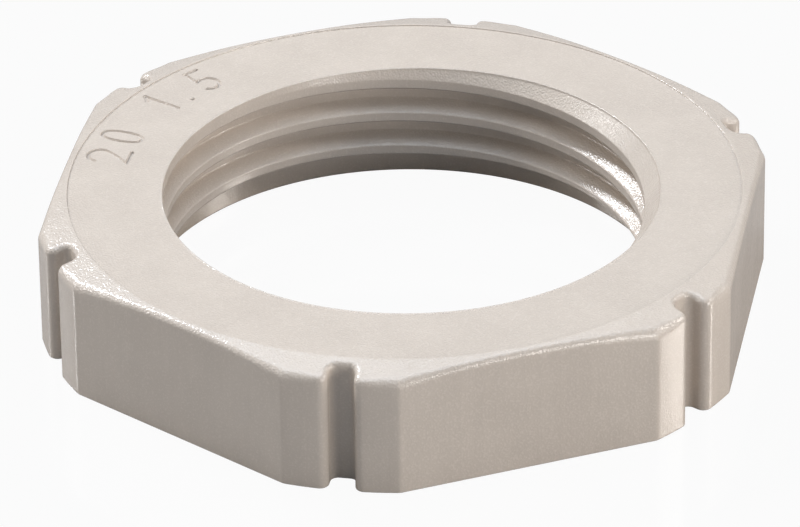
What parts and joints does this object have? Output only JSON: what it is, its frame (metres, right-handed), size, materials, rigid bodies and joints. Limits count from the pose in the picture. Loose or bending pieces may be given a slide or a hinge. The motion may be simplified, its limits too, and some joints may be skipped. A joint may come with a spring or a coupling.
{
  "type": "cable gland locknut",
  "caption": "Flat hexagon locknut moulded in light grey plastic, with a fine metric thread, turned corners and a small notch in each corner.",
  "frame": {"origin": "on the thread's axis at the flat bottom face", "axes": "+Z along the thread's axis from the bottom face to the ring face, +X through a turned corner, +Y square to a flat"},
  "size_m": [0.029, 0.027, 0.0052],
  "materials": {
    "body": "satin moulded polyamide, warm light grey, with a fine sparkle where light grazes it"
  },
  "bodies": {
    "root": {"locknut": "body"}
  },
  "joints": []
}
